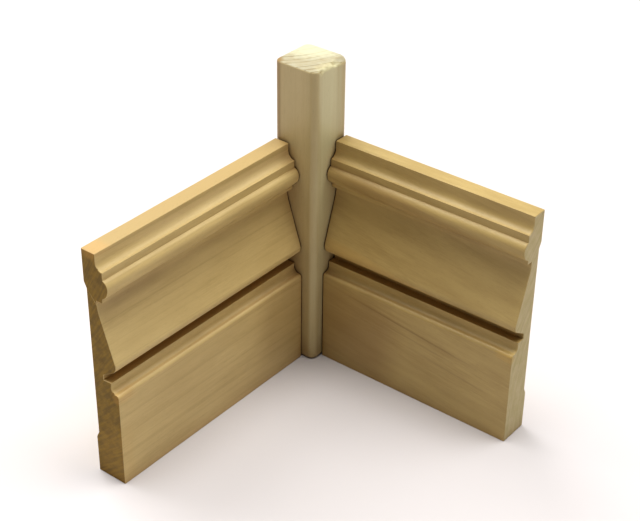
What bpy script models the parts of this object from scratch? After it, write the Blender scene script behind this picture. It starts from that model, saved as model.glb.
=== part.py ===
"""Inside-corner base block with the two lengths of base moulding that butt against it.

Metres, +Z up. The origin is the centre of the block's underside, on the floor. The corner of the
room lies behind the block, towards -X and +Y. One length of moulding runs from the block along -Y,
with its face towards +X, and the other runs along +X, with its face towards -Y.

The moulding is one section for both lengths. Its face, from the floor up, is a thick plain base
with an eased top, a small cove and fillet, a narrow groove, a rounded nose, a panel that leans back
to a hollow, a ledge with a fillet, a bead that overhangs, a lip, a second cove and a thin top.
"""
import bmesh
import bpy
from math import asin, atan2, cos, hypot, pi, radians, sin

# Corner block: a square post with rounded arrises and lightly eased ends
BLOCK_SIDE = 0.0286
BLOCK_HEIGHT = 0.1860
BLOCK_ARRIS_RADIUS = 0.0040
BLOCK_END_EASE = 0.0010

# Lengths of moulding, and how they stand to the block
LEFT_LENGTH = 0.1475
RIGHT_LENGTH = 0.1275
BUTT_GAP = 0.0005
BACK_SET_IN = 0.0015

# Section of the moulding, sizes measured out from its raised back and up from the floor
SECTION_HEIGHT = 0.1397
BASE_THICKNESS = 0.01905
BASE_FLAT_HEIGHT = 0.0558
BASE_TOP_ROUND = 0.0020
SHOULDER_COVE_RADIUS = 0.00315
SHOULDER_FILLET = 0.0029
GROOVE_MOUTH_DEPTH = 0.0051
GROOVE_BACK_HEIGHT = 0.0031
NOSE_FRONT = 0.0184
NOSE_RADIUS = 0.0050
NOSE_CENTRE_ABOVE_GROOVE = 0.00865
NOSE_UNDER_ANGLE = radians(58)
PANEL_TOP_THICKNESS = 0.0082
PANEL_HOLLOW_RADIUS = 0.0288
LEDGE_DEPTH = 0.0041
LEDGE_FILLET = 0.0024
BEAD_FRONT = 0.0169
BEAD_LOWER_DROP = 0.0072
BEAD_UPPER_RISE = 0.0044
LIP_FILLET = 0.0044
TOP_COVE_RADIUS = 0.0042
TOP_FILLET = 0.0051
TOP_THICKNESS = 0.0095

# Back of the moulding: a shallow relief between two raised lands that bear on the wall
BACK_RELIEF_DEPTH = 0.0017
BACK_RELIEF_SLOPE = 0.0035
BACK_LOWER_LAND = 0.0230
BACK_UPPER_LAND = 0.0192

# Round stretches of the section are drawn with chords of about this length
CHORD = 0.0006

BLOCK_COLOUR = (0.62, 0.53, 0.34)
MOULDING_COLOUR = (0.68, 0.49, 0.27)


def clear_scene():
    for item in list(bpy.data.objects):
        bpy.data.objects.remove(item, do_unlink=True)


def new_collection(name):
    group = bpy.data.collections.new(name)
    bpy.context.scene.collection.children.link(group)
    return group


def wood(name, colour, roughness):
    material = bpy.data.materials.new(name)
    material.use_nodes = True
    shader = material.node_tree.nodes["Principled BSDF"]
    shader.inputs["Base Color"].default_value = (*colour, 1.0)
    shader.inputs["Roughness"].default_value = roughness
    shader.inputs["Metallic"].default_value = 0.0
    material.diffuse_color = (*colour, 1.0)
    return material


def arc(centre, radius, start, end):
    """Points on a round stretch from one angle to the other, both ends included."""
    steps = max(3, round(radius * abs(end - start) / CHORD))
    turn = (end - start) / steps
    angles = [start + turn * i for i in range(steps + 1)]
    return [(centre[0] + radius * cos(a), centre[1] + radius * sin(a)) for a in angles]


def bulge_radius(reach, height):
    """Radius of the arc that stands out by reach where it is furthest out, over this height."""
    return (reach * reach + height * height) / (2 * reach)


def shoulder():
    """Base front, its eased top edge, the small cove and the fillet that ends at the groove."""
    ease_centre = (BASE_THICKNESS - BASE_TOP_ROUND, BASE_FLAT_HEIGHT)
    cove_centre = (ease_centre[0], BASE_FLAT_HEIGHT + BASE_TOP_ROUND + SHOULDER_COVE_RADIUS)
    fillet_foot = (cove_centre[0] - SHOULDER_COVE_RADIUS, cove_centre[1])
    points = [(BASE_THICKNESS, 0.0)]
    points += arc(ease_centre, BASE_TOP_ROUND, 0.0, pi / 2)
    points += arc(cove_centre, SHOULDER_COVE_RADIUS, -pi / 2, -pi)[1:]
    points.append((fillet_foot[0], fillet_foot[1] + SHOULDER_FILLET))
    return points


def groove(mouth):
    """The groove's back corners, below and above, worked in from the fillet's top edge."""
    back = mouth[0] - GROOVE_MOUTH_DEPTH
    return [(back, mouth[1]), (back, mouth[1] + GROOVE_BACK_HEIGHT)]


def panel(groove_top, ledge_level):
    """The rounded nose, the leaning panel tangent to it, and the hollow up to the ledge."""
    nose = (NOSE_FRONT - NOSE_RADIUS, groove_top[1] + NOSE_CENTRE_ABOVE_GROOVE)
    hollow_radius = min(PANEL_HOLLOW_RADIUS, 0.7 * (ledge_level - nose[1]))
    hollow = (PANEL_TOP_THICKNESS + hollow_radius, ledge_level)
    across, up = hollow[0] - nose[0], hollow[1] - nose[1]
    lean = asin((NOSE_RADIUS + hollow_radius) / hypot(across, up)) - atan2(across, up)
    points = arc(nose, NOSE_RADIUS, -NOSE_UNDER_ANGLE, lean)
    points += arc(hollow, hollow_radius, pi + lean, pi)
    return points


def bead(ledge_level):
    """The ledge and fillet under the bead, then the bead up to the foot of the lip."""
    foot = (PANEL_TOP_THICKNESS + LEDGE_DEPTH, ledge_level)
    front_level = foot[1] + LEDGE_FILLET + BEAD_LOWER_DROP
    lower = bulge_radius(BEAD_FRONT - foot[0], BEAD_LOWER_DROP)
    upper = bulge_radius(BEAD_FRONT - TOP_THICKNESS - TOP_COVE_RADIUS, BEAD_UPPER_RISE)
    lower_start = -asin(BEAD_LOWER_DROP / lower)
    upper_end = asin(BEAD_UPPER_RISE / upper)
    points = [foot]
    points += arc((BEAD_FRONT - lower, front_level), lower, lower_start, 0.0)
    points += arc((BEAD_FRONT - upper, front_level), upper, 0.0, upper_end)[1:]
    return points


def crown():
    """The lip, the cove above it and the thin top."""
    cove_centre = (TOP_THICKNESS + TOP_COVE_RADIUS, SECTION_HEIGHT - TOP_FILLET)
    points = arc(cove_centre, TOP_COVE_RADIUS, -pi / 2, -pi)
    points.append((TOP_THICKNESS, SECTION_HEIGHT))
    return points


def back():
    """The back from the top down: upper land, relief with sloped ends, lower land."""
    relief_top = SECTION_HEIGHT - BACK_UPPER_LAND
    return [
        (0.0, SECTION_HEIGHT),
        (0.0, relief_top),
        (BACK_RELIEF_DEPTH, relief_top - BACK_RELIEF_SLOPE),
        (BACK_RELIEF_DEPTH, BACK_LOWER_LAND + BACK_RELIEF_SLOPE),
        (0.0, BACK_LOWER_LAND),
        (0.0, 0.0),
    ]


def moulding_section():
    """The whole closed outline, anticlockwise from the front of the base."""
    lip_level = SECTION_HEIGHT - TOP_FILLET - TOP_COVE_RADIUS
    ledge_level = lip_level - LIP_FILLET - BEAD_UPPER_RISE - BEAD_LOWER_DROP - LEDGE_FILLET
    outline = shoulder()
    outline += groove(outline[-1])
    outline += panel(outline[-1], ledge_level)
    outline += bead(ledge_level)
    outline += crown()
    outline += back()
    return outline


def moulding_mesh(name, length):
    """The section as a flat outline, thickened to the length and closed at its ends."""
    curve = bpy.data.curves.new(name + "_section", "CURVE")
    curve.dimensions = "2D"
    curve.fill_mode = "BOTH"
    curve.extrude = length / 2
    outline = moulding_section()
    spline = curve.splines.new("POLY")
    spline.points.add(len(outline) - 1)
    for point, (out, up) in zip(spline.points, outline):
        point.co = (out, up, 0.0, 1.0)
    spline.use_cyclic_u = True
    drawn = bpy.data.objects.new(name + "_section", curve)
    bpy.context.scene.collection.objects.link(drawn)
    bpy.context.view_layer.update()
    evaluated = drawn.evaluated_get(bpy.context.evaluated_depsgraph_get())
    mesh = bpy.data.meshes.new_from_object(evaluated)
    bpy.data.objects.remove(drawn, do_unlink=True)
    weld_caps(mesh)
    mesh.name = name
    return mesh


def weld_caps(mesh):
    body = bmesh.new()
    body.from_mesh(mesh)
    bmesh.ops.remove_doubles(body, verts=body.verts, dist=0.00001)
    bmesh.ops.recalc_face_normals(body, faces=body.faces)
    body.to_mesh(mesh)
    body.free()


def add_moulding(group, name, length, place, turn):
    """One length of moulding, its section stood up and its run laid along the wall."""
    mesh = moulding_mesh(name, length)
    mesh.materials.clear()
    mesh.materials.append(wood(name + "_wood", MOULDING_COLOUR, 0.55))
    piece = bpy.data.objects.new(name, mesh)
    piece.location = place
    piece.rotation_euler = (pi / 2, 0.0, turn)
    group.objects.link(piece)
    return piece


def add_corner_block(group):
    """The square post: a cube at full size, its long arrises rounded and its ends eased."""
    mesh = bpy.data.meshes.new("corner_block")
    body = bmesh.new()
    bmesh.ops.create_cube(body, size=1.0)
    bmesh.ops.scale(body, vec=(BLOCK_SIDE, BLOCK_SIDE, BLOCK_HEIGHT), verts=body.verts)
    upright = [edge for edge in body.edges if abs(edge.verts[0].co.z - edge.verts[1].co.z) > 0]
    bevel(body, upright, BLOCK_ARRIS_RADIUS, 8)
    ends = [face for face in body.faces if abs(face.normal.z) > 0.9]
    bevel(body, {edge for face in ends for edge in face.edges}, BLOCK_END_EASE, 3)
    body.to_mesh(mesh)
    body.free()
    mesh.materials.append(wood("corner_block_wood", BLOCK_COLOUR, 0.6))
    mesh.shade_smooth()
    mesh.set_sharp_from_angle(angle=radians(30))
    block = bpy.data.objects.new("corner_block", mesh)
    block.location = (0.0, 0.0, BLOCK_HEIGHT / 2)
    group.objects.link(block)
    return block


def bevel(body, edges, width, segments):
    bmesh.ops.bevel(body, geom=list(edges), offset=width, offset_type="OFFSET", segments=segments,
                    profile=0.5, affect="EDGES", clamp_overlap=True, material=-1)


def build():
    clear_scene()
    group = new_collection("inside_corner_base_block")
    add_corner_block(group)
    wall = BLOCK_SIDE / 2 - BACK_SET_IN
    butt = BLOCK_SIDE / 2 + BUTT_GAP
    left_place = (-wall, -(butt + LEFT_LENGTH / 2), 0.0)
    right_place = (butt + RIGHT_LENGTH / 2, wall, 0.0)
    add_moulding(group, "base_moulding_left", LEFT_LENGTH, left_place, 0.0)
    add_moulding(group, "base_moulding_right", RIGHT_LENGTH, right_place, -pi / 2)


build()
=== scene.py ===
# %% [markdown]
# # An inside-corner base block with its two mouldings
#
# The object is a piece of joinery for the inside corner of a room. A square post with rounded
# arrises, the corner block, stands in the corner, and two lengths of base moulding are butted
# against it with plain square cuts, so that nobody has to mitre or cope them. All three pieces are
# bare, pale hardwood, straight from the moulding machine.
#
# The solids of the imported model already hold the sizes. This script dresses them: it models each
# piece again with finer curves, eased arrises and saw-cut ends, and gives each its own wood.

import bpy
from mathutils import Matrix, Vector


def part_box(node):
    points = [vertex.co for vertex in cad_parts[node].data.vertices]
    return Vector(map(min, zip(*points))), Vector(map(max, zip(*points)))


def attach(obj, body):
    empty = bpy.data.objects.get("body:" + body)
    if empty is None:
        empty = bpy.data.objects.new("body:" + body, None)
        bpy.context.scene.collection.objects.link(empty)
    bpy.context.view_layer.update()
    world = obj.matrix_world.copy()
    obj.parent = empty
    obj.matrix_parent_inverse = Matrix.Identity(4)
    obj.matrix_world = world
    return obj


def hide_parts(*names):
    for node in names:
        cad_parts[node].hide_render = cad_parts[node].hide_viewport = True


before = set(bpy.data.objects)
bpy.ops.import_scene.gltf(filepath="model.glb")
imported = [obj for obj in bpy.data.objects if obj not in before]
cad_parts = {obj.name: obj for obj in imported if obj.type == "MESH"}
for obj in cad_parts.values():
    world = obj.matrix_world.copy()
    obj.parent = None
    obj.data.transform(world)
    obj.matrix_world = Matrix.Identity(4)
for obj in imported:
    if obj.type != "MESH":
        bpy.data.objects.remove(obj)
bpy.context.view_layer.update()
print("nodes:", sorted(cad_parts))

# %% Modules and units
from math import asin, atan2, cos, hypot, pi, radians, sin

import bmesh
import bpy
from mathutils import Matrix, Vector, noise

MM = 0.001
scene = bpy.context.scene

# %% [markdown]
# ## The camera
#
# The object was photographed from above and in front, looking into the corner, with a fairly long
# lens, so that upright lines stay nearly parallel. A camera can be aimed with a Track To
# constraint, but a constraint leaves the roll at zero. Here the aim is worked out once with
# to_track_quat and the small roll is added after it.

# %% Camera
CAMERA_PLACE = Vector((0.4554, -0.5737, 0.5258))
CAMERA_AIM = Vector((0.0148, -0.0091, 0.0679))
CAMERA_ROLL = radians(0.80)
CAMERA_LENS_MM = 84.14
CAMERA_SENSOR_MM = 36.0


def add_camera():
    data = bpy.data.cameras.new("camera")
    data.lens = CAMERA_LENS_MM
    data.sensor_width = CAMERA_SENSOR_MM
    camera = bpy.data.objects.new("camera", data)
    aim = (CAMERA_AIM - CAMERA_PLACE).to_track_quat("-Z", "Y").to_matrix().to_4x4()
    roll = Matrix.Rotation(CAMERA_ROLL, 4, "Z")
    camera.matrix_world = Matrix.Translation(CAMERA_PLACE) @ aim @ roll
    scene.collection.objects.link(camera)
    scene.camera = camera
    return camera


print("camera at", tuple(add_camera().location))

# %% [markdown]
# ## Shader nodes, written short
#
# A node tree built by script is mostly three steps over and over: add a node, set it, plug it.
# One helper does all three. An input that is a socket is linked, and anything else is a value.
# The others name the few kinds of node that a wood is made of.

# %% Node helpers
def add_node(tree, kind, inputs=None, **settings):
    """Add a shader node, with its settings and its inputs by name or number."""
    node = tree.nodes.new("ShaderNode" + kind)
    for name, value in settings.items():
        setattr(node, name, value)
    for key, value in (inputs or {}).items():
        if isinstance(value, bpy.types.NodeSocket):
            tree.links.new(value, node.inputs[key])
        else:
            node.inputs[key].default_value = value
    return node


def maths(tree, operation, *values):
    """One step of arithmetic on sockets or numbers."""
    return add_node(tree, "Math", dict(enumerate(values)), operation=operation).outputs[0]


def vector_maths(tree, operation, *values):
    """One step of arithmetic on vectors. A length and a distance come out as numbers."""
    node = add_node(tree, "VectorMath", dict(enumerate(values)), operation=operation)
    return node.outputs["Value" if operation in ("LENGTH", "DISTANCE") else "Vector"]


def split(tree, vector):
    """The X, Y and Z of a vector, as sockets."""
    return add_node(tree, "SeparateXYZ", {0: vector}).outputs


def remap(tree, value, low, high, to_low=0.0, to_high=1.0):
    """Carry a range of values smoothly to another, held at its ends."""
    places = {0: value, 1: low, 2: high, 3: to_low, 4: to_high}
    return add_node(tree, "MapRange", places, interpolation_type="SMOOTHSTEP").outputs[0]


# %% Colours
def blend_colour(tree, factor, first, second, blend_type="MIX"):
    """Mix two colours, each a socket or a named tint."""
    places = {0: factor, 6: first, 7: second}
    return add_node(tree, "Mix", places, data_type="RGBA", blend_type=blend_type).outputs[2]


def linear(level):
    """A screen's level, 0 to 1, as linear light. The numbers are those of the sRGB curve."""
    if level <= 0.04045:
        return level / 12.92
    return ((level + 0.055) / 1.055) ** 2.4


def tint(red, green, blue):
    """A colour as it shows on a screen, 0 to 255, in the linear values that shaders use."""
    return (*[linear(part / 255) for part in (red, green, blue)], 1.0)


# %% [markdown]
# ## The studio
#
# The object stands on a pale table top that runs out of sight, under soft light from above, as
# below a few ceiling panels: one straight overhead, one from the right, a weak one from the left,
# and the strongest half way down behind on the left. That makes the tops, the lips and the upper
# side of each bead bright and leaves the faces in a gentle shade. An area lamp would be brighter
# near by than further off. A sun lamp with a wide disc is as soft, but it has no falloff, so the
# table stays equally white from edge to edge.

# %% Table top
FLOOR_SIDE = 14.0
FLOOR_COLOUR = (0.578, 0.546, 0.538, 1.0)
FLOOR_ROUGHNESS = 0.85


def add_floor():
    body = bmesh.new()
    bmesh.ops.create_grid(body, x_segments=1, y_segments=1, size=FLOOR_SIDE / 2)
    mesh = bpy.data.meshes.new("floor")
    body.to_mesh(mesh)
    body.free()
    material = bpy.data.materials.new("white_table")
    material.use_nodes = True
    shader = material.node_tree.nodes["Principled BSDF"]
    shader.inputs["Base Color"].default_value = FLOOR_COLOUR
    shader.inputs["Roughness"].default_value = FLOOR_ROUGHNESS
    mesh.materials.append(material)
    floor = bpy.data.objects.new("floor", mesh)
    scene.collection.objects.link(floor)
    return floor


print("table top", add_floor().dimensions.x, "m wide")

# %% Surround
SURROUND_COLOUR = (1.0, 0.99, 0.985, 1.0)
SURROUND_STRENGTH = 0.21


def add_surround():
    """A dim, even white from all round, which fills the deepest shade."""
    world = bpy.data.worlds.new("white_surround")
    world.use_nodes = True
    background = world.node_tree.nodes["Background"]
    background.inputs["Color"].default_value = SURROUND_COLOUR
    background.inputs["Strength"].default_value = SURROUND_STRENGTH
    scene.world = world
    return world


print("surround:", add_surround().name)

# %% Lamps
# Each lamp is a name, a tip down from straight above, a turn round the vertical that starts at +X,
# the width of its disc and its power.
PANELS = (
    ("overhead", radians(0), radians(0), radians(30), 1.50),
    ("behind_right", radians(25), radians(45), radians(30), 1.18),
    ("front_left", radians(25), radians(225), radians(30), 0.48),
    ("low_left", radians(47), radians(170), radians(50), 2.05),
)
LAMP_DISTANCE = 1.0


def add_panel(name, down, round_z, spread, power):
    """A lamp with a wide disc, aimed at the object from its own side."""
    data = bpy.data.lights.new(name, "SUN")
    data.angle = spread
    data.energy = power
    lamp = bpy.data.objects.new(name, data)
    tip = Matrix.Rotation(round_z, 4, "Z") @ Matrix.Rotation(down, 4, "Y")
    lamp.matrix_world = tip @ Matrix.Translation((0.0, 0.0, LAMP_DISTANCE))
    scene.collection.objects.link(lamp)
    return lamp


for panel in PANELS:
    add_panel(*panel)

# %% Contrast
scene.view_settings.view_transform = "Standard"
scene.view_settings.look = "Medium High Contrast"
print("look:", scene.view_settings.look)

# %% [markdown]
# ## Solid wood
#
# A veneer or a painted board could take a flat picture of grain. These pieces are cut from solid
# wood, so the lines on a face and the rings on the end beside it are one pattern, met at two
# angles. The material therefore works in three dimensions: it turns the object's coordinates until
# Z runs along the grain and the heart of the tree, the pith, lies at X = Y = 0. Everything else,
# rings, fibres, pores and stained streaks, is noise drawn out along that Z.

# %% Grain coordinates
END_GRAIN_FROM = 0.55
END_GRAIN_FULL = 0.85
ACROSS_ONLY = (1.0, 1.0, 0.0)


def grain_coordinates(tree, turn, pith):
    """The spot in the tree that each point was cut from, and how squarely it cuts the grain."""
    texture = add_node(tree, "TexCoord").outputs
    to_pith = (-pith[0], -pith[1], 0.0)
    place = {"Vector": texture["Object"], "Rotation": turn, "Location": to_pith}
    spot = add_node(tree, "Mapping", place, vector_type="POINT").outputs[0]
    facing = {"Vector": texture["Normal"], "Rotation": turn}
    turned = add_node(tree, "Mapping", facing, vector_type="VECTOR").outputs[0]
    squarely = maths(tree, "ABSOLUTE", split(tree, turned)["Z"])
    return spot, remap(tree, squarely, END_GRAIN_FROM, END_GRAIN_FULL)


# %% Drawn-out noise
def drawn_out(tree, spot, across, along, detail=2.0, roughness=0.5, output=0):
    """Noise whose lumps are this wide across the grain and this long along it."""
    scaled = vector_maths(tree, "MULTIPLY", spot, (1 / across, 1 / across, 1 / along))
    texture = {"Vector": scaled, "Scale": 1.0, "Detail": detail, "Roughness": roughness}
    return add_node(tree, "TexNoise", texture).outputs[output]


def about_zero(tree, value, weight):
    """Noise lies round one half: this brings it round zero, times a weight."""
    return maths(tree, "MULTIPLY_ADD", value, 2 * weight, -weight)


# %% [markdown]
# ## Growth rings
#
# A ring is one year: soft early wood that darkens slowly into a thin line of late wood, and then
# starts again at once. The distance from the pith, divided by the width of a ring, counts the
# years, and what is left after the whole years is the place inside the ring. A Wave texture has
# rings too, but it repeats them evenly. Here slow noise bends the rings, a second noise makes some
# years fat and some lean, and a third lets the line of some years nearly fade away.

# %% Growth rings
RING_SLOW_ACROSS = 45 * MM
RING_SLOW_ALONG = 260 * MM
LATE_WOOD_STARTS = 0.62
LATE_WOOD_ENDS = 0.95
LEAN_RATE = 0.7
LEAN_YEARS = 0.8
FAINT_RATE = 1.3
FAINT_BELOW = 0.25
FULL_ABOVE = 0.75
FAINTEST_LINE = 0.25


def bent_across(tree, spot, wander):
    """The spot without its place along the grain, shifted a little so that rings are not true."""
    slow = drawn_out(tree, spot, RING_SLOW_ACROSS, RING_SLOW_ALONG, detail=1.0, output=1)
    centred = vector_maths(tree, "SUBTRACT", slow, (0.5, 0.5, 0.5))
    bent = vector_maths(tree, "MULTIPLY_ADD", centred, (2 * wander, 2 * wander, 0.0), spot)
    return vector_maths(tree, "MULTIPLY", bent, ACROSS_ONLY)


def year_noise(tree, years, rate):
    """Noise that changes from year to year."""
    texture = {"W": years, "Scale": rate, "Detail": 0.0}
    return add_node(tree, "TexNoise", texture, noise_dimensions="1D").outputs[0]


def growth_rings(tree, radius, ring_width):
    """The late wood's line in each year, 0 to 1."""
    years = maths(tree, "DIVIDE", radius, ring_width)
    lean = year_noise(tree, years, LEAN_RATE)
    phase = maths(tree, "FRACT", maths(tree, "ADD", years, about_zero(tree, lean, LEAN_YEARS)))
    rise = remap(tree, phase, LATE_WOOD_STARTS, LATE_WOOD_ENDS)
    fall = remap(tree, phase, LATE_WOOD_ENDS, 1.0, 1.0, 0.0)
    strength = year_noise(tree, years, FAINT_RATE)
    shown = remap(tree, strength, FAINT_BELOW, FULL_ABOVE, FAINTEST_LINE, 1.0)
    return maths(tree, "MULTIPLY", maths(tree, "MULTIPLY", rise, fall), shown)


# %% Strands round the rings
STRAND_WIDTH = 1.5 * MM
STRAND_LENGTH = 14 * MM


def ring_strands(tree, flat, radius):
    """Noise drawn out round the pith, for the end cuts."""
    place = split(tree, flat)
    angle = maths(tree, "ARCTAN2", place["Y"], place["X"])
    round_pith = {0: radius, 1: maths(tree, "MULTIPLY", angle, radius)}
    unrolled = add_node(tree, "CombineXYZ", round_pith).outputs[0]
    scaled = vector_maths(tree, "MULTIPLY", unrolled, (1 / STRAND_WIDTH, 1 / STRAND_LENGTH, 1.0))
    return add_node(tree, "TexNoise", {"Vector": scaled, "Scale": 1.0, "Detail": 2.0}).outputs[0]


# %% [markdown]
# ## How dark the wood is
#
# Planed wood is never one tone. Broad bands and blotches shift it slowly, and fibres of three
# sizes streak it finely, but in patches only, because the cutter leaves some spots silky and others
# woolly. A layer is written as its width across the grain, its length along it and its weight. On
# one of the woods the top edge of the board is painted darker, as painted shade.

# %% Tone
BAND = (5 * MM, 240 * MM, 0.20)
BLOTCH = (10 * MM, 34 * MM, 0.34)
STRAND = (1.9 * MM, 30 * MM, 0.22)
FIBRE = (0.75 * MM, 13 * MM, 0.30)
FINE = (0.30 * MM, 5 * MM, 0.24)
FIBRE_ROUGHNESS = 0.6
PATCH = (16 * MM, 45 * MM)
PATCH_SILKY = 0.35
PATCH_WOOLLY = 0.65
SILKY_SHARE = 0.20
MIDDLE_TONE = 0.45
BOARD_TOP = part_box("base_moulding_left")[1].z - 0.5 * MM
TOP_FROM = 0.5
TOP_FULL = 0.9


def painted_shade_on_top(tree):
    """1 on the board's top edge, where painted shade goes, 0 elsewhere."""
    surface = add_node(tree, "TexCoord").outputs
    level = split(tree, surface["Object"])["Z"]
    facing = split(tree, surface["Normal"])["Z"]
    high = maths(tree, "GREATER_THAN", level, BOARD_TOP)
    return maths(tree, "MULTIPLY", high, remap(tree, facing, TOP_FROM, TOP_FULL))


def tone_of(tree, spot, rings, ring_strength, contrast, top_painted_shade):
    """How dark the wood is, 0 to 1, and the height of its fibres."""
    # Painted shade: the top edge of a board is pushed towards the dark wood.
    tone = maths(tree, "MULTIPLY_ADD", painted_shade_on_top(tree), top_painted_shade, MIDDLE_TONE)
    tone = maths(tree, "MULTIPLY_ADD", rings, ring_strength, tone)
    for across, along, weight in (BAND, BLOTCH):
        layer = drawn_out(tree, spot, across, along)
        tone = maths(tree, "ADD", tone, about_zero(tree, layer, weight * contrast))
    fibres = 0.0
    for across, along, weight in (STRAND, FIBRE, FINE):
        layer = drawn_out(tree, spot, across, along, roughness=FIBRE_ROUGHNESS)
        fibres = maths(tree, "ADD", fibres, about_zero(tree, layer, weight))
    patches = drawn_out(tree, spot, *PATCH)
    shown = remap(tree, patches, PATCH_SILKY, PATCH_WOOLLY, SILKY_SHARE * contrast, contrast)
    return remap(tree, maths(tree, "MULTIPLY_ADD", fibres, shown, tone), 0.0, 1.0), fibres


print("boards are dulled above", round(BOARD_TOP / MM, 1), "mm")

# %% [markdown]
# ## Stains, painted shade and light, and pores
#
# Heartwood, sapwood and a late line that surfaces at a slant all show as streaks that run with the
# grain. They could be painted on, but then they would stop at an arris. Each is a rod through the
# tree instead: a middle across the grain, a reach round it with a ragged, soft rim, and sometimes
# only a stretch of its length, so a streak turns the corner from one face to the next as in real
# wood. The same rods also lay painted shade and painted light where a face should look darker or
# brighter than the lamps leave it. A pore is a cut-open vessel, a dark dash a fifth of a millimetre
# wide.

# %% Stains, painted shade and painted light
MARK_RAGGED = 0.35
MARK_RAG_SIZE = (3 * MM, 70 * MM)
MARK_SOFT = 0.40
MARK_FADE = 0.3
WHOLE_LENGTH = (-1.0, 1.0)


def stain_and_painted_light(tree, spot, pith, colour, mark, amount, centre, reach, span=WHOLE_LENGTH):
    """A stain, painted shade or painted light along the grain. Centre, reach and span are in mm."""
    middle = (centre[0] * MM - pith[0], centre[1] * MM - pith[1], 0.0)
    flat = vector_maths(tree, "MULTIPLY", spot, ACROSS_ONLY)
    away = vector_maths(tree, "DISTANCE", flat, middle)
    radius = reach * MM
    ragged = about_zero(tree, drawn_out(tree, spot, *MARK_RAG_SIZE), MARK_RAGGED * radius)
    rim = maths(tree, "ADD", away, ragged)
    share = remap(tree, rim, radius * (1 - MARK_SOFT), radius * (1 + MARK_SOFT), amount, 0.0)
    if span != WHOLE_LENGTH:
        share = maths(tree, "MULTIPLY", share, within(tree, split(tree, spot)["Z"], span))
    return blend_colour(tree, share, colour, mark)


def within(tree, along, span):
    """1 in the middle of a stretch of the length, fading to 0 at both its ends."""
    start, end = span[0] * MM, span[1] * MM
    fade = MARK_FADE * (end - start)
    begun = remap(tree, along, start, start + fade)
    left = remap(tree, along, end - fade, end, 1.0, 0.0)
    return maths(tree, "MULTIPLY", begun, left)


# %% Pores
PORE = (0.24 * MM, 3.0 * MM)
PORE_FROM = 0.68
PORE_FULL = 0.80
PORE_DARK = 0.12
PORE_COLOUR = tint(120, 92, 55)


def with_pores(tree, spot, colour):
    """Prick the colour with pores. Gives the colour, and where the pores are."""
    pores = remap(tree, drawn_out(tree, spot, *PORE, detail=0.0), PORE_FROM, PORE_FULL)
    dark = maths(tree, "MULTIPLY", pores, PORE_DARK)
    return blend_colour(tree, dark, colour, PORE_COLOUR, "MULTIPLY"), pores


# %% [markdown]
# ## Painted shade in hollows and joints
#
# In the narrow groove, in the coves and where a board butts against the block, the wood is painted
# from pale to deep brown. In the hollows this is painted shade: little light gets in, and what does
# has bounced off brown wood. In the crevices it is partly dust, which gathers there, and partly
# painted shade. A dark line could be drawn along each, but it would have to follow every edge. The
# Ambient Occlusion node measures instead how much open space a point has round it, so one rule
# finds them all. A wide reach paints soft shade into the hollows, and a short one paints the
# crevices dark.

# %% Painted shade in hollows and joints
# Each is a reach, the open share where it is darkest, the open share where it ends, how strong it
# is, and its colour.
# Soft painted shade in the hollows.
HOLLOW_PAINTED_SHADE = (18 * MM, 0.25, 0.82, 0.44, tint(190, 140, 70))
# Dark crevices: partly dust, partly painted shade.
CREVICE_DUST_AND_SHADE = (1.7 * MM, 0.28, 0.43, 1.0, tint(116, 68, 26))
OPEN_SAMPLES = 8


def painted_shade_in_hollows_and_joints(tree, colour):
    """Painted shade: the wood goes brown where hardly any space is open to it."""
    for reach, darkest, ends, strength, brown in (HOLLOW_PAINTED_SHADE, CREVICE_DUST_AND_SHADE):
        space = add_node(tree, "AmbientOcclusion", {"Distance": reach}, samples=OPEN_SAMPLES)
        share = remap(tree, space.outputs["AO"], darkest, ends, strength, 0.0)
        colour = blend_colour(tree, share, colour, brown, "MULTIPLY")
    return colour


# %% [markdown]
# ## End cuts, relief and gloss
#
# An end cut drinks up light between its open fibres, so it has a colour of its own, with streaks
# that follow the rings instead of the length. It is also rougher and duller than a planed face.
# The relief of fibres, rings and pores is only about a tenth of a millimetre, too fine for a mesh
# of this size, so a Bump node shades it.

# %% Colour of an end cut
END_SHARE = 0.80
END_RING_COLOUR = tint(118, 100, 66)
END_CLOUD = (4.0 * MM, 40 * MM)
END_STRANDS_SHARE = 0.75
END_CLOUD_SHARE = 0.45
END_PALE_BELOW = 0.42
END_DARK_ABOVE = 0.78


def end_cut(tree, spot, face, strands, rings, pale, dark, ring_share):
    """Streaks round the pith, clouds, and the lines of the late wood."""
    cloud = maths(tree, "MULTIPLY", drawn_out(tree, spot, *END_CLOUD), END_CLOUD_SHARE)
    streaks = maths(tree, "MULTIPLY_ADD", strands, END_STRANDS_SHARE, cloud)
    streaks = remap(tree, streaks, END_PALE_BELOW, END_DARK_ABOVE)
    cut = blend_colour(tree, END_SHARE, face, blend_colour(tree, streaks, pale, dark))
    return blend_colour(tree, maths(tree, "MULTIPLY", rings, ring_share), cut, END_RING_COLOUR)


# %% Relief
RELIEF = 0.14 * MM
RELIEF_STRENGTH = 0.5
PORE_HEIGHT = -0.35
RING_HEIGHT = 0.25
END_SMOOTHER = -0.75


def add_relief(tree, shader, fibres, rings, pores, end_grain):
    """Fibres and late wood stand out and pores go in, less so on an end cut."""
    height = maths(tree, "MULTIPLY_ADD", pores, PORE_HEIGHT, fibres)
    height = maths(tree, "MULTIPLY_ADD", rings, RING_HEIGHT, height)
    kept = maths(tree, "MULTIPLY_ADD", end_grain, END_SMOOTHER, 1.0)
    height = maths(tree, "MULTIPLY", height, kept)
    places = {"Strength": RELIEF_STRENGTH, "Distance": RELIEF, "Height": height}
    tree.links.new(add_node(tree, "Bump", places).outputs[0], shader.inputs["Normal"])


# %% Gloss
ROUGHNESS = 0.50
FIBRE_ROUGHER = 0.25
END_ROUGHER = 0.22
WOOD_IOR = 1.62
FACE_SPECULAR = 0.5
END_DULLER = -0.35


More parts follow.
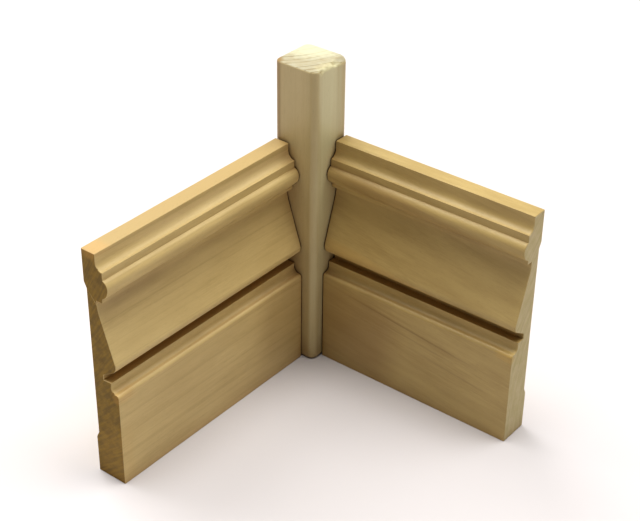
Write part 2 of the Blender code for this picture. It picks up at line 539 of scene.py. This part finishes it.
def add_gloss(tree, shader, fibres, end_grain):
    """A satin face, rougher on its fibres, and a rougher, duller end cut."""
    rough = maths(tree, "MULTIPLY_ADD", fibres, FIBRE_ROUGHER, ROUGHNESS)
    rough = maths(tree, "MULTIPLY_ADD", end_grain, END_ROUGHER, rough)
    tree.links.new(rough, shader.inputs["Roughness"])
    shader.inputs["IOR"].default_value = WOOD_IOR
    specular = maths(tree, "MULTIPLY_ADD", end_grain, END_DULLER, FACE_SPECULAR)
    tree.links.new(specular, shader.inputs["Specular IOR Level"])


# %% [markdown]
# ## One recipe, three boards
#
# The recipe adds up a tone, looks it up between the palest and the darkest wood, gives the end
# cuts their own colour, lays the stains and the painted shade and light over both, and then adds
# pores, painted shade in the joints, relief and gloss.
# The boards could share one material. They don't, because each came from another tree.

# %% Wood material
def solid_wood(name, turn, pith, ring_width, ring_strength, contrast, pale, dark,
               end_pale, end_dark, end_rings, stains_and_painted_light, wander=2.0 * MM, top_painted_shade=0.0):
    """A bare hardwood whose grain and end grain agree on every face."""
    material = bpy.data.materials.new(name)
    material.use_nodes = True
    tree = material.node_tree
    shader = tree.nodes["Principled BSDF"]
    spot, end_grain = grain_coordinates(tree, turn, pith)
    flat = bent_across(tree, spot, wander)
    radius = vector_maths(tree, "LENGTH", flat)
    rings = growth_rings(tree, radius, ring_width)
    tone, fibres = tone_of(tree, spot, rings, ring_strength, contrast, top_painted_shade)
    face = blend_colour(tree, tone, pale, dark)
    strands = ring_strands(tree, flat, radius)
    cut = end_cut(tree, spot, face, strands, rings, end_pale, end_dark, end_rings)
    colour = blend_colour(tree, end_grain, face, cut)
    # Stains, painted shade and painted light are laid in turn.
    for mark in stains_and_painted_light:
        colour = stain_and_painted_light(tree, spot, pith, colour, *mark)
    colour, pores = with_pores(tree, spot, colour)
    # Painted shade in the hollows and joints darkens the colour before it reaches the shader.
    tree.links.new(painted_shade_in_hollows_and_joints(tree, colour), shader.inputs["Base Color"])
    add_relief(tree, shader, fibres, rings, pores, end_grain)
    add_gloss(tree, shader, fibres, end_grain)
    return material


# %% [markdown]
# ## How each piece was sawn
#
# The turn carries the piece's length onto Z, with a degree or a few more where the grain runs out
# of the board, and the pith says from which side of the log it came. A stain, and a mark of painted
# shade or light alike, is a colour, how strong it is, its middle across the grain, its reach, and
# for most the stretch of the length that it covers, in millimetres.
#
# The left-hand board is pale straw with a brown end cut. It turns over X, so its stains and painted
# marks stand at (x, minus the height) and run along y. Its free end is warmer along the edges, and
# a fibre or two is torn and dark where the bead meets the block. Painted shade makes its base
# browner towards the block and its panel darker under the bead, painted light makes its base by the
# free end more golden, and a painted highlight runs along the cove above the lip.

# %% Wood of the left-hand moulding
WARM = tint(206, 156, 84)
TORN = tint(96, 68, 30)
# The next three colours are painted: golden light, brown shade and a pale highlight.
PAINTED_LIGHT_GOLD = tint(206, 167, 96)
PAINTED_SHADE_BROWN = tint(132, 96, 48)
PAINTED_HIGHLIGHT_PALE = tint(236, 214, 166)

left_wood = solid_wood(
    "left_moulding_wood",
    turn=(radians(90.6), 0.0, 0.0), pith=(-160 * MM, -200 * MM),
    # Painted shade darkens the top edge of this board.
    ring_width=4.6 * MM, ring_strength=0.16, contrast=0.5, top_painted_shade=0.75,
    pale=tint(217, 193, 134), dark=tint(175, 148, 93),
    end_pale=tint(127, 96, 15), end_dark=tint(88, 62, 7), end_rings=0.25,
    stains_and_painted_light=(
        (WARM, 0.22, (5.0, -54.8), 4.0, (-170, -149)),
        (WARM, 0.30, (-8.0, -138.5), 5.0, (-170, -150)),
        (TORN, 0.70, (2.0, -116.0), 1.6, (-19, -13)),
        # painted light: the base by the free end more golden
        (PAINTED_LIGHT_GOLD, 0.12, (9.0, -14.0), 20.0, (-172, -152)),
        # painted shade: the base browner towards the block
        (PAINTED_SHADE_BROWN, 0.22, (6.0, -36.0), 28.0, (-60, 5)),
        # painted highlight: the cove above the lip paler
        (PAINTED_HIGHLIGHT_PALE, 0.30, (-0.8, -133.6), 3.4, (-158, 20)),
        # painted shade: the panel darker under the bead
        (PAINTED_SHADE_BROWN, 0.22, (-3.0, -109.0), 8.0, (-166, -110)),
    ))
print("wood:", left_wood.name)

# %% [markdown]
# The right-hand board is a greyer tan with a pale end cut. Its grain runs downhill, seven degrees
# off its length, so late lines cross its base at a slant. It turns over Y, so its stains and
# painted marks stand at about (minus the height, y) and run along x. Painted shade makes its base
# brown towards the block and its bead brown too, and painted light makes its nose golden.

# %% Wood of the right-hand moulding
LATE_LINE = tint(112, 84, 44)
GOLD = tint(197, 157, 72)

right_wood = solid_wood(
    "right_moulding_wood",
    turn=(0.0, radians(-97), 0.0), pith=(-24 * MM, 135 * MM),
    ring_width=5.0 * MM, ring_strength=0.10, contrast=0.6,
    pale=tint(191, 167, 109), dark=tint(152, 126, 70),
    end_pale=tint(199, 186, 151), end_dark=tint(187, 175, 134), end_rings=0.15,
    stains_and_painted_light=(
        (LATE_LINE, 0.36, (-53.9, -6.2), 0.5, (20, 120)),
        (LATE_LINE, 0.18, (-48.6, -6.2), 0.5, (50, 105)),
        (LATE_LINE, 0.18, (-42.2, -6.2), 0.6, (70, 130)),
        (GOLD, 0.30, (-71.8, -6.2), 2.6, (122, 140)),
        (TORN, 0.70, (-117.2, -2.0), 1.6, (-1, 5)),
        # painted shade: the base browner towards the block
        (PAINTED_SHADE_BROWN, 0.40, (-32.6, -6.0), 24.0, (-8, 72)),
        # painted shade: the bead browner
        (PAINTED_SHADE_BROWN, 0.32, (-125.5, -3.0), 6.0, (-20, 132)),
        # painted light: the nose more golden
        (PAINTED_LIGHT_GOLD, 0.30, (-78.0, -5.0), 5.0, (-20, 132)),
    ))
print("wood:", right_wood.name)

# %% [markdown]
# The block is paler wood with hardly any figure. It stands as it grew, so nothing is turned, and
# its stains stand at (x, y) and run up it. Its right-hand face is greenish sapwood with two thin
# darker streaks near it, its left-hand arris is brown heartwood, and the back corner of its top
# has dried out pale.

# %% Wood of the corner block
SAP_GREEN = tint(209, 202, 160)
HEART_GREEN = tint(147, 133, 81)
HEART_BROWN = tint(143, 112, 63)
DRY_CORNER = tint(214, 212, 180)

block_wood = solid_wood(
    "corner_block_wood",
    turn=(0.0, 0.0, 0.0), pith=(-52 * MM, 30 * MM),
    ring_width=4.6 * MM, ring_strength=0.06, contrast=0.28, wander=0.5 * MM,
    pale=tint(201, 184, 138), dark=tint(166, 145, 97),
    end_pale=tint(175, 172, 150), end_dark=tint(166, 156, 129), end_rings=0.85,
    stains_and_painted_light=(
        (SAP_GREEN, 0.80, (22.0, -2.0), 11.5),
        (HEART_GREEN, 0.15, (15.0, 6.0), 2.2),
        (HEART_BROWN, 0.80, (-14.6, -13.6), 4.4),
        (HEART_GREEN, 0.12, (11.4, -14.6), 3.2),
        (DRY_CORNER, 0.60, (-10.0, 14.0), 16.0, (181, 191)),
    ))
print("wood:", block_wood.name)

# %% [markdown]
# ## The moulding's section
#
# A profile like this could be a curve with a bevel object. Drawn in bmesh it stays a mesh from the
# first vertex: one vertex is the pen, extruded for each straight stretch and spun round a centre
# for each round one. The sizes are those of the solid model, in the same order from the floor up.

# %% Sizes of the section
SECTION_HEIGHT = 139.7 * MM
BASE_THICKNESS = 19.05 * MM
BASE_FLAT_HEIGHT = 55.8 * MM
BASE_TOP_ROUND = 2.0 * MM
SHOULDER_COVE_RADIUS = 3.15 * MM
SHOULDER_FILLET = 2.9 * MM
GROOVE_MOUTH_DEPTH = 5.1 * MM
GROOVE_BACK_HEIGHT = 3.1 * MM
NOSE_FRONT = 18.4 * MM
NOSE_RADIUS = 5.0 * MM
NOSE_CENTRE_ABOVE_GROOVE = 8.65 * MM
NOSE_UNDER_ANGLE = radians(58)
PANEL_TOP_THICKNESS = 8.2 * MM
PANEL_HOLLOW_RADIUS = 28.8 * MM
LEDGE_DEPTH = 4.1 * MM
LEDGE_FILLET = 2.4 * MM
BEAD_FRONT = 16.9 * MM
BEAD_LOWER_DROP = 7.2 * MM
BEAD_UPPER_RISE = 4.4 * MM
LIP_FILLET = 4.4 * MM
TOP_COVE_RADIUS = 4.2 * MM
TOP_FILLET = 5.1 * MM
TOP_THICKNESS = 9.5 * MM
BACK_RELIEF_DEPTH = 1.7 * MM
BACK_RELIEF_SLOPE = 3.5 * MM
BACK_LOWER_LAND = 23.0 * MM
BACK_UPPER_LAND = 19.2 * MM
print("section", SECTION_HEIGHT / MM, "by", BASE_THICKNESS / MM, "mm")


# %% The pen
CHORD = 0.35 * MM
FEWEST_CHORDS = 4


class Pen:
    """Draws a wire in the XZ plane, X out from the wall and Z up from the floor."""

    def __init__(self, body, out, up):
        self.body = body
        self.tip = body.verts.new((out, 0.0, up))

    def line(self, out, up):
        made = bmesh.ops.extrude_vert_indiv(self.body, verts=[self.tip])
        self.tip = made["verts"][0]
        self.tip.co = (out, 0.0, up)

    def rise(self, distance):
        self.line(self.tip.co.x, self.tip.co.z + distance)

    def arc(self, out, up, turn):
        """Spin the tip round a centre. A positive turn goes from X towards Z."""
        centre = Vector((out, 0.0, up))
        chords = round((self.tip.co - centre).length * abs(turn) / CHORD)
        made = bmesh.ops.spin(self.body, geom=[self.tip], cent=centre, axis=(0.0, -1.0, 0.0),
                              angle=turn, steps=max(FEWEST_CHORDS, chords))
        self.tip = next(item for item in made["geom_last"] if isinstance(item, bmesh.types.BMVert))

    def close(self, start):
        self.body.edges.new((self.tip, start))


def bulge_radius(reach, height):
    """Radius of the arc that stands out by reach where it is furthest out, over this height."""
    return (reach * reach + height * height) / (2 * reach)


# %% Draw the section
def draw_section(body):
    """The closed outline of the moulding, from the front of the base round to its underside."""
    pen = Pen(body, BASE_THICKNESS, 0.0)
    start = pen.tip
    pen.line(BASE_THICKNESS, BASE_FLAT_HEIGHT)
    pen.arc(BASE_THICKNESS - BASE_TOP_ROUND, BASE_FLAT_HEIGHT, pi / 2)
    pen.arc(pen.tip.co.x, pen.tip.co.z + SHOULDER_COVE_RADIUS, -pi / 2)
    pen.rise(SHOULDER_FILLET)
    pen.line(pen.tip.co.x - GROOVE_MOUTH_DEPTH, pen.tip.co.z)
    pen.rise(GROOVE_BACK_HEIGHT)
    lip_level = SECTION_HEIGHT - TOP_FILLET - TOP_COVE_RADIUS
    ledge_level = lip_level - LIP_FILLET - BEAD_UPPER_RISE - BEAD_LOWER_DROP - LEDGE_FILLET
    draw_panel(pen, ledge_level)
    draw_bead(pen, ledge_level)
    pen.rise(LIP_FILLET)
    pen.arc(pen.tip.co.x, lip_level + TOP_COVE_RADIUS, -pi / 2)
    pen.line(TOP_THICKNESS, SECTION_HEIGHT)
    draw_back(pen)
    pen.close(start)


def draw_panel(pen, ledge_level):
    """The round nose over the groove, the leaning panel tangent to it, and the hollow."""
    nose = Vector((NOSE_FRONT - NOSE_RADIUS, 0.0, pen.tip.co.z + NOSE_CENTRE_ABOVE_GROOVE))
    hollow = Vector((PANEL_TOP_THICKNESS + PANEL_HOLLOW_RADIUS, 0.0, ledge_level))
    across, up = hollow.x - nose.x, hollow.z - nose.z
    lean = asin((NOSE_RADIUS + PANEL_HOLLOW_RADIUS) / hypot(across, up)) - atan2(across, up)
    under = nose + Matrix.Rotation(NOSE_UNDER_ANGLE, 3, "Y") @ Vector((NOSE_RADIUS, 0.0, 0.0))
    pen.line(under.x, under.z)
    pen.arc(nose.x, nose.z, NOSE_UNDER_ANGLE + lean)
    meets = hollow - Matrix.Rotation(-lean, 3, "Y") @ Vector((PANEL_HOLLOW_RADIUS, 0.0, 0.0))
    pen.line(meets.x, meets.z)
    pen.arc(hollow.x, hollow.z, -lean)


def draw_bead(pen, ledge_level):
    """The ledge and its fillet, then the bead's long lower and short upper round."""
    pen.line(PANEL_TOP_THICKNESS + LEDGE_DEPTH, ledge_level)
    pen.rise(LEDGE_FILLET)
    front_level = pen.tip.co.z + BEAD_LOWER_DROP
    lower = bulge_radius(BEAD_FRONT - pen.tip.co.x, BEAD_LOWER_DROP)
    upper = bulge_radius(BEAD_FRONT - TOP_THICKNESS - TOP_COVE_RADIUS, BEAD_UPPER_RISE)
    pen.arc(BEAD_FRONT - lower, front_level, asin(BEAD_LOWER_DROP / lower))
    pen.arc(BEAD_FRONT - upper, front_level, asin(BEAD_UPPER_RISE / upper))


def draw_back(pen):
    """The back from the top down: a land, a shallow relief with sloped ends, and a land."""
    relief_top = SECTION_HEIGHT - BACK_UPPER_LAND
    pen.line(0.0, SECTION_HEIGHT)
    pen.line(0.0, relief_top)
    pen.line(BACK_RELIEF_DEPTH, relief_top - BACK_RELIEF_SLOPE)
    pen.line(BACK_RELIEF_DEPTH, BACK_LOWER_LAND + BACK_RELIEF_SLOPE)
    pen.line(0.0, BACK_LOWER_LAND)
    pen.line(0.0, 0.0)


# %% [markdown]
# ## From section to moulding
#
# The machine cuts the whole section in one pass, so the mesh is one extrusion. Its arrises are
# eased a hair, because a perfectly sharp edge catches no light. The ends are inset and pushed out
# a little, which breaks the saw-cut edge all the way round, and then the length is divided so that
# the slight waviness of a planed surface can be real relief.

# %% Extrude
SAW_EDGE = 0.25 * MM


def extrude_section(body, length):
    """Fill the drawn outline and pull it out along +Y."""
    outline = bmesh.ops.contextual_create(body, geom=body.edges[:])["faces"]
    made = bmesh.ops.extrude_face_region(body, geom=outline, use_keep_orig=True)
    pulled = [item for item in made["geom"] if isinstance(item, bmesh.types.BMVert)]
    bmesh.ops.translate(body, vec=(0.0, length - 2 * SAW_EDGE, 0.0), verts=pulled)
    bmesh.ops.translate(body, vec=(0.0, SAW_EDGE, 0.0), verts=body.verts)
    bmesh.ops.recalc_face_normals(body, faces=body.faces)


# %% Ease the arrises
EASE = 0.22 * MM
SHARP_ANGLE = radians(30)


def bevel(body, edges, width, segments):
    bmesh.ops.bevel(body, geom=edges, offset=width, offset_type="OFFSET", segments=segments,
                    profile=0.5, affect="EDGES", clamp_overlap=True, material=-1)


def runs_along(edge):
    return abs(edge.verts[0].co.y - edge.verts[1].co.y) > MM


def ease_arrises(body):
    """Round the long outer edges that the cutters left sharp."""
    long_edges = [edge for edge in body.edges if runs_along(edge)]
    sharp = [edge for edge in long_edges if edge.calc_face_angle_signed() > SHARP_ANGLE]
    bevel(body, sharp, EASE, 2)
    return len(sharp)


# %% Break the saw-cut edges and divide the length
LENGTH_DIVISIONS = 110
SQUARE_ON = 0.9


def break_saw_edges(body):
    """Inset both ends and push them out, which leaves a tiny chamfer round each."""
    ends = [face for face in body.faces if abs(face.normal.y) > SQUARE_ON]
    bmesh.ops.inset_region(body, faces=ends, thickness=SAW_EDGE, depth=SAW_EDGE,
                           use_even_offset=True, use_boundary=True)
    bmesh.ops.triangulate(body, faces=ends, quad_method="BEAUTY", ngon_method="BEAUTY")


def divide_length(body):
    long_edges = [edge for edge in body.edges if runs_along(edge)]
    bmesh.ops.subdivide_edges(body, edges=long_edges, cuts=LENGTH_DIVISIONS)


# %% [markdown]
# ## Marks of the machine and the saw
#
# Real planed wood is never dead flat: the feed and the soft early wood leave shallow waves, and the
# cross-cut tears a fibre here and there out of the end arrises. Both only ever take wood away, so
# the vertices move inwards and the piece keeps inside its solid.

# %% Waves of the plane
WAVE_DEPTH = 0.14 * MM
WAVE_WIDTH = 7 * MM
WAVE_LENGTH = 22 * MM
ON_THE_CUT = 0.5 * SAW_EDGE


def plane_waves(body, length, seed):
    """Shallow waves, drawn out along the length, on all but the two cuts."""
    body.normal_update()
    moves = []
    for vertex in body.verts:
        x, y, z = vertex.co
        if min(y, length - y) < ON_THE_CUT:
            continue
        spot = Vector((x / WAVE_WIDTH + seed, y / WAVE_LENGTH, z / WAVE_WIDTH))
        moves.append((vertex, (noise.noise(spot) - 1.0) / 2 * WAVE_DEPTH * vertex.normal))
    for vertex, move in moves:
        vertex.co += move


# %% Fibres torn by the saw
TEAR_REACH = 0.55 * MM
TEAR_SIZE = 1.6 * MM
TEAR_THRESHOLD = 0.28
TEAR_STEEPNESS = 2.5
END_TO_END = 10
BY_THE_CUT = 1.5 * SAW_EDGE


def tear_ends(body, length, seed):
    """Nibble at the outermost rings of both ends, in other places at each end."""
    torn = 0
    for vertex in body.verts:
        x, y, z = vertex.co
        if min(y, length - y) > BY_THE_CUT:
            continue
        spot = Vector((x / TEAR_SIZE + seed, y * END_TO_END, z / TEAR_SIZE))
        tear = noise.noise(spot) - TEAR_THRESHOLD
        if tear > 0:
            inward = 1.0 if y < length / 2 else -1.0
            vertex.co.y += inward * min(tear * TEAR_STEEPNESS, 1.0) * TEAR_REACH
            torn += 1
    return torn


# %% [markdown]
# ## An open butt joint
#
# The boards only stand against the block, with no glue, and no saw cut is perfectly square, so a
# thin dark gap shows down each joint. Two pieces that touch exactly would leave no gap, and a drawn
# line would look painted. So the butt end is set back by a hair, unevenly, and the gap finds its
# own shade.

# %% Open the butt joint
BUTT_OPEN = 0.15 * MM
BUTT_RAGGED = 0.10 * MM
BUTT_RAG_SIZE = 5 * MM


def open_butt(body, butt_y, inward):
    """Set the butt end back a hair from the block, and not quite evenly."""
    for vertex in body.verts:
        x, y, z = vertex.co
        if abs(y - butt_y) < BY_THE_CUT:
            ragged = noise.noise(Vector((x, 0.0, z)) / BUTT_RAG_SIZE) * BUTT_RAGGED
            vertex.co.y += inward * (BUTT_OPEN + ragged)


# %% [markdown]
# ## The two mouldings
#
# Both lengths come off one machine, so one function makes them, and each then gets its own length,
# place and marks. The left-hand one is drawn where it stands. The right-hand one is turned a
# quarter round, into the other wall. Every piece ends the same way: its place goes into its mesh,
# it is shaded smooth up to its sharp edges, it takes its wood, it rides on the one body, and it
# stands for its solid.

# %% Finish a piece
def finish_piece(body, name, node, wood):
    mesh = bpy.data.meshes.new(name)
    body.to_mesh(mesh)
    body.free()
    mesh.shade_smooth()
    mesh.set_sharp_from_angle(angle=SHARP_ANGLE)
    mesh.materials.append(wood)
    piece = bpy.data.objects.new(name, mesh)
    scene.collection.objects.link(piece)
    evened = piece.modifiers.new("even_shading", "WEIGHTED_NORMAL")
    evened.keep_sharp = True
    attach(piece, "root")
    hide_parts(node)
    print(name, "faces:", len(mesh.polygons))
    return piece


# %% Model the mouldings
def model_moulding(name, node, wood, along_x, seed):
    low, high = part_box(node)
    length = high.x - low.x if along_x else high.y - low.y
    body = bmesh.new()
    draw_section(body)
    extrude_section(body, length)
    eased = ease_arrises(body)
    break_saw_edges(body)
    divide_length(body)
    plane_waves(body, length, seed)
    torn = tear_ends(body, length, seed)
    if along_x:
        open_butt(body, 0.0, 1.0)
        place = Matrix.Translation((low.x, high.y, low.z)) @ Matrix.Rotation(radians(-90), 4, "Z")
    else:
        open_butt(body, length, -1.0)
        place = Matrix.Translation(low)
    bmesh.ops.transform(body, matrix=place, verts=body.verts)
    print(name, "length", round(length / MM, 1), "mm, arrises eased", eased, "points torn", torn)
    return finish_piece(body, name, node, wood)


model_moulding("left_length_of_moulding", "base_moulding_left", left_wood, False, 3.0)
model_moulding("right_length_of_moulding", "base_moulding_right", right_wood, True, 11.0)

# %% [markdown]
# ## The corner block
#
# A square stick with its four long arrises rounded over. A cube with a wide bevel is the whole
# shape. What gives it away as wood is its top: a rough cross-cut with scratches along the rings,
# worn down and splintered along the edge that looks to the right. For that the mesh needs points
# to move, and cutting it with planes gives an even net that follows the round arrises.

# %% Round the block
ARRIS_RADIUS = 4.0 * MM
ARRIS_SEGMENTS = 12
FOOT_EASE = 1.8 * MM
TOP_EASE = 0.9 * MM
EASE_SEGMENTS = 3


def round_block(body, low, high):
    """A cube at full size, its long arrises rounded and its ends eased."""
    bmesh.ops.create_cube(body, size=1.0)
    bmesh.ops.scale(body, vec=high - low, verts=body.verts)
    bmesh.ops.translate(body, vec=(low + high) / 2, verts=body.verts)
    upright = [edge for edge in body.edges if abs(edge.verts[0].co.z - edge.verts[1].co.z) > MM]
    bevel(body, upright, ARRIS_RADIUS, ARRIS_SEGMENTS)
    for up, ease in ((-1, FOOT_EASE), (1, TOP_EASE)):
        end = next(face for face in body.faces if face.normal.z * up > SQUARE_ON)
        bevel(body, list(end.edges), ease, EASE_SEGMENTS)


# %% Cut a net over it
NET = 0.6 * MM
TOP_ZONE = 9 * MM
ROW_BELOW = 4 * MM
FIRST_ROW_DOWN = 1.2 * TOP_EASE
CUT_SNAP = 0.005 * MM


def cut_net(body, low, high):
    """Cut with upright planes both ways, and with level planes that crowd near the top."""
    planes = []
    for axis in (0, 1):
        count = int((high[axis] - low[axis]) / NET)
        planes += [(axis, low[axis] + (step + 0.5) * NET) for step in range(count)]
    dense = int(TOP_ZONE / NET)
    planes += [(2, high.z - FIRST_ROW_DOWN - step * NET) for step in range(dense)]
    sparse = int((high.z - low.z - TOP_ZONE - FOOT_EASE) / ROW_BELOW)
    planes += [(2, high.z - TOP_ZONE - (step + 1) * ROW_BELOW) for step in range(sparse)]
    for axis, at in planes:
        normal = Vector((axis == 0, axis == 1, axis == 2))
        geometry = body.verts[:] + body.edges[:] + body.faces[:]
        bmesh.ops.bisect_plane(body, geom=geometry, dist=CUT_SNAP, plane_co=normal * at,
                               plane_no=normal)
    return len(planes)


# %% [markdown]
# ## Wear on the top of the block
#
# The wear could be sculpted by hand. Here it is a function of place, so it can be tuned like a
# size: a slope along the right-hand edge that widens towards the back, two chips where fibres tore
# out, and fine scratches that run with the rings.

# %% Slope and scratches
SLOPE_WIDTH_FRONT = 0.6 * MM
SLOPE_WIDTH_BACK = 4.6 * MM
SLOPE_PITCH = 0.50
SLOPE_RAGGED = 0.7 * MM
RAG_ACROSS = 2.5 * MM
RAG_ALONG = 1.3 * MM
SLOPE_SEED = 4.0
SCRATCH_DEPTH = 0.16 * MM
SCRATCH_WIDTH = 1.1 * MM
SCRATCH_LENGTH = 9.0 * MM
SCRATCH_SEED = 9.0
RINGS_TURN = radians(-30)


def smooth(value, low, high):
    share = min(max((value - low) / (high - low), 0.0), 1.0)
    return share * share * (3 - 2 * share)


def drop_at(x, y, low, high):
    """How far the top has worn down at a place."""
    back = smooth(y, low.y, high.y)
    ragged = SLOPE_RAGGED * noise.noise(Vector((x / RAG_ACROSS, y / RAG_ALONG, SLOPE_SEED)))
    width = SLOPE_WIDTH_FRONT + (SLOPE_WIDTH_BACK - SLOPE_WIDTH_FRONT) * back + ragged
    worn = max(0.0, width - (high.x - x)) * SLOPE_PITCH
    across = x * cos(RINGS_TURN) + y * sin(RINGS_TURN)
    along = y * cos(RINGS_TURN) - x * sin(RINGS_TURN)
    spot = Vector((across / SCRATCH_WIDTH, along / SCRATCH_LENGTH, SCRATCH_SEED))
    return worn + (0.5 + 0.5 * noise.noise(spot)) * SCRATCH_DEPTH


# %% Chips, and the whole wear
# Each chip is a centre, a reach and a depth.
CHIPS = (
    (Vector((14.3, -8.6, 185.6)) * MM, 2.6 * MM, 1.2 * MM),
    (Vector((13.4, 3.4, 185.8)) * MM, 2.4 * MM, 1.1 * MM),
)
CHIP_PULL = Vector((-0.7, 0.0, -0.7))
CHIP_RIM = 0.8
CHIP_GRAIN = 0.7 * MM
CHIP_EVEN = 0.7
CHIP_ROUGH = 0.6


def wear_top(body, low, high):
    """Lower the top, less and less down to where the wear ends, and take out the chips."""
    chipped = 0
    for vertex in body.verts:
        x, y, z = vertex.co
        near_top = smooth(z, high.z - TOP_ZONE, high.z - TOP_EASE)
        vertex.co.z -= drop_at(x, y, low, high) * near_top
        for centre, reach, depth in CHIPS:
            away = (vertex.co - centre).length / reach
            if away < 1.0:
                rough = CHIP_EVEN + CHIP_ROUGH * noise.noise(vertex.co / CHIP_GRAIN)
                vertex.co += CHIP_PULL * depth * smooth(1 - away, 0.0, CHIP_RIM) * rough
                chipped += 1
    return chipped


# %% Model the block
def model_block():
    low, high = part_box("corner_block")
    body = bmesh.new()
    round_block(body, low, high)
    cuts = cut_net(body, low, high)
    chipped = wear_top(body, low, high)
    print("block cut by", cuts, "planes, points chipped", chipped)
    return finish_piece(body, "corner_block_of_wood", "corner_block", block_wood)


model_block()
